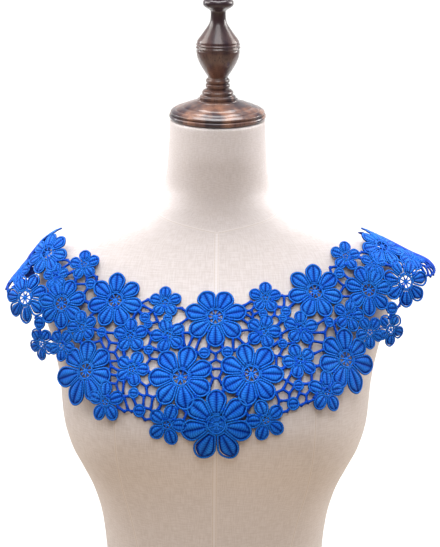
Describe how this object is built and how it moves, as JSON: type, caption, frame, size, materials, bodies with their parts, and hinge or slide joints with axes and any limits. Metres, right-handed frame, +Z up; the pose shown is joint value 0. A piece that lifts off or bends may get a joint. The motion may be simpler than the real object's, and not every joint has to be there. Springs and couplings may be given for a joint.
{
  "type": "lace collar on a limbless dress form",
  "caption": "Off-the-shoulder guipure lace collar of daisies and blossoms, draped on a limbless linen dress form with a turned wood neck cap and finial.",
  "frame": {"origin": "the middle of the dress form's flat underside, on the surface that it stands on", "axes": "+Z up, the form's front towards -Y, +X to the right of someone who looks at its front"},
  "size_m": [0.4152, 0.244, 0.7916],
  "materials": {
    "lace": "royal blue satin-stitched polyester thread",
    "linen": "cream linen, stretched and seamed",
    "wood": "dark stained and varnished, turned"
  },
  "bodies": {
    "root": {"lace_collar": "lace", "form_body": "linen", "neck_cap": "wood", "finial": "wood"}
  },
  "joints": []
}
